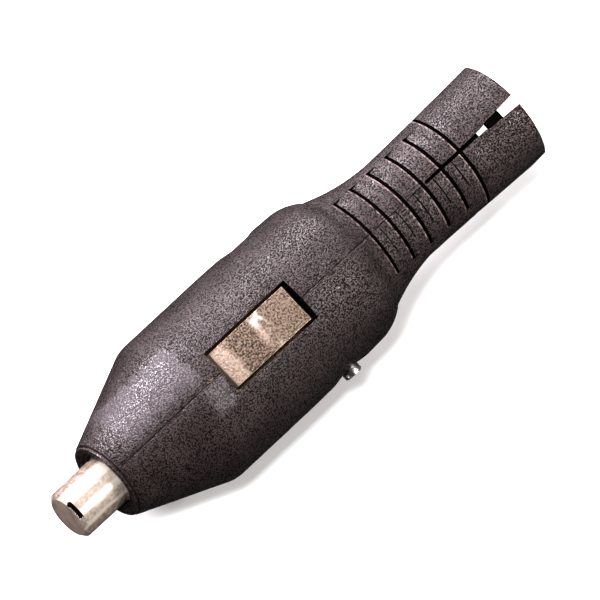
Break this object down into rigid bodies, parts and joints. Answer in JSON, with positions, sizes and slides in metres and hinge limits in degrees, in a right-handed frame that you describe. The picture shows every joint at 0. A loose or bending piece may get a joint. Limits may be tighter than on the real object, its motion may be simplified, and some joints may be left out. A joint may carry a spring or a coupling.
{
  "type": "electrode holder",
  "caption": "In-line hand holder for a round electrode: two moulded half shells, conical nose, thumb clamp lever in a window, and a notched neck with an open cable end.",
  "frame": {"origin": "on the tool's axis, in the plane of the shells' nose face", "axes": "+X along the tool's axis towards the cable end, +Z towards the thumb lever's window, -Y towards the screw head"},
  "size_m": [0.1443, 0.0409, 0.0398],
  "materials": {
    "shell_plastic": "dark warm grey, coarse spark-textured moulding",
    "electrode_metal": "bright nickel plate with turning marks and wear",
    "lever_cast": "rough cast bronze with rubbed bright edges",
    "body_brass": "machined brass",
    "contact_copper": "bare copper",
    "bush_ceramic": "unglazed insulating ceramic",
    "rubber_black": "matt black rubber",
    "steel_plated": "zinc-plated steel",
    "steel_dark": "black oxide steel",
    "spring_steel": "bright spring wire"
  },
  "bodies": {
    "holder": {"left_shell": "shell_plastic", "right_shell": "shell_plastic", "nose_bush": "bush_ceramic", "wiper_ring": "rubber_black", "contact_band": "contact_copper", "thrust_button": "steel_dark", "holder_body": "body_brass", "lever_pin": "steel_plated", "pin_clips": "steel_dark", "lever_spring": "spring_steel", "shell_screw": "steel_plated", "shell_nut": "steel_plated", "shell_dowels": "steel_plated", "grub_screws": "steel_dark", "pressure_plate": "body_brass", "cable_sleeve": "rubber_black"},
    "lever": {"clamp_lever": "lever_cast", "jaw_pad": "contact_copper", "jaw_pin": "steel_plated"},
    "rod": {"electrode": "electrode_metal"}
  },
  "joints": [
    {"name": "lever_press", "type": "hinge", "parent": "holder", "child": "lever", "pos_m": [0.045, 0, 0.011], "axis": [0, 1, 0], "range_deg": [0, 7], "stiffness_Nm_per_rad": 2, "springref_deg": -2.86, "deforming": ["lever_spring"]},
    {"name": "electrode_slide", "type": "slide", "parent": "holder", "child": "rod", "axis": [-1, 0, 0], "range_m": [0, 0.035]}
  ]
}
